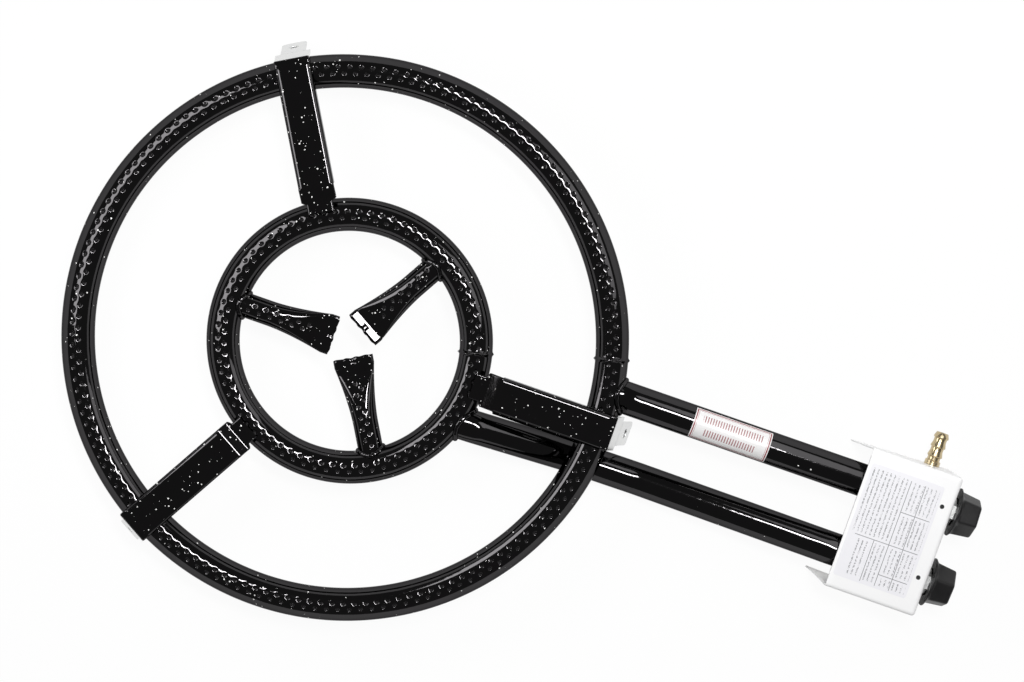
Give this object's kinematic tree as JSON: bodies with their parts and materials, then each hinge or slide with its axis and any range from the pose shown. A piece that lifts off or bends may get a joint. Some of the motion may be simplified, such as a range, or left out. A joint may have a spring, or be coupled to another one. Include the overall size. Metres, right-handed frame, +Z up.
{
  "type": "paella gas burner",
  "caption": "Low ring gas burner for paella pans: concentric tube rings and flattened centre arms on a long twin feed to a boxed tap unit with knobs.",
  "frame": {"origin": "middle of the part's length and width, on the plane it rests on", "axes": "+X from the rings to the control box and its knobs, +Y to the hose nozzle's side, +Z up"},
  "size_m": [0.6626, 0.3996, 0.055],
  "materials": {
    "enamel": "gloss enamel",
    "zinc": "zinc plated",
    "white_paint": "satin white",
    "brass": "machined",
    "steel": "machined",
    "black_plastic": "satin"
  },
  "bodies": {
    "burner": {"outer_ring": "enamel", "inner_ring": "enamel", "outer_feed_tube": "enamel", "inner_feed_tube": "enamel", "burner_chassis": "enamel", "control_box_cover": "white_paint", "gas_manifold": "brass", "manifold_end_plug": "brass", "hose_nozzle": "brass", "center_spoke_1": "enamel", "pan_support_1": "enamel", "leg_bracket_1": "zinc", "leg_bracket_nut_1": "zinc", "center_spoke_2": "enamel", "pan_support_2": "enamel", "leg_bracket_2": "zinc", "leg_bracket_nut_2": "zinc", "center_spoke_3": "enamel", "pan_support_3": "enamel", "leg_bracket_3": "zinc", "leg_bracket_nut_3": "zinc", "tap_body_1": "brass", "tap_bonnet_1": "brass", "tap_nut_1": "brass", "injector_1": "brass", "tap_body_2": "brass", "tap_bonnet_2": "brass", "tap_nut_2": "brass", "injector_2": "brass"},
    "plug_1": {"tap_plug_1": "brass", "tap_spring_1": "steel"},
    "plug_2": {"tap_plug_2": "brass", "tap_spring_2": "steel"},
    "knob_1": {"tap_spindle_1": "steel", "control_knob_1": "black_plastic"},
    "knob_2": {"tap_spindle_2": "steel", "control_knob_2": "black_plastic"}
  },
  "joints": [
    {"name": "tap_1_turn", "type": "hinge", "parent": "burner", "child": "plug_1", "pos_m": [0.29225, 0.0263, 0.0375], "axis": [1, 0, 0], "range_deg": [0, 180]},
    {"name": "tap_1_press", "type": "slide", "parent": "plug_1", "child": "knob_1", "axis": [-1, 0, 0], "range_m": [0, 0.003], "stiffness_N_per_m": 1200, "springref_m": -0.006},
    {"name": "tap_2_turn", "type": "hinge", "parent": "burner", "child": "plug_2", "pos_m": [0.29225, -0.0263, 0.0375], "axis": [1, 0, 0], "range_deg": [0, 180]},
    {"name": "tap_2_press", "type": "slide", "parent": "plug_2", "child": "knob_2", "axis": [-1, 0, 0], "range_m": [0, 0.003], "stiffness_N_per_m": 1200, "springref_m": -0.006}
  ]
}
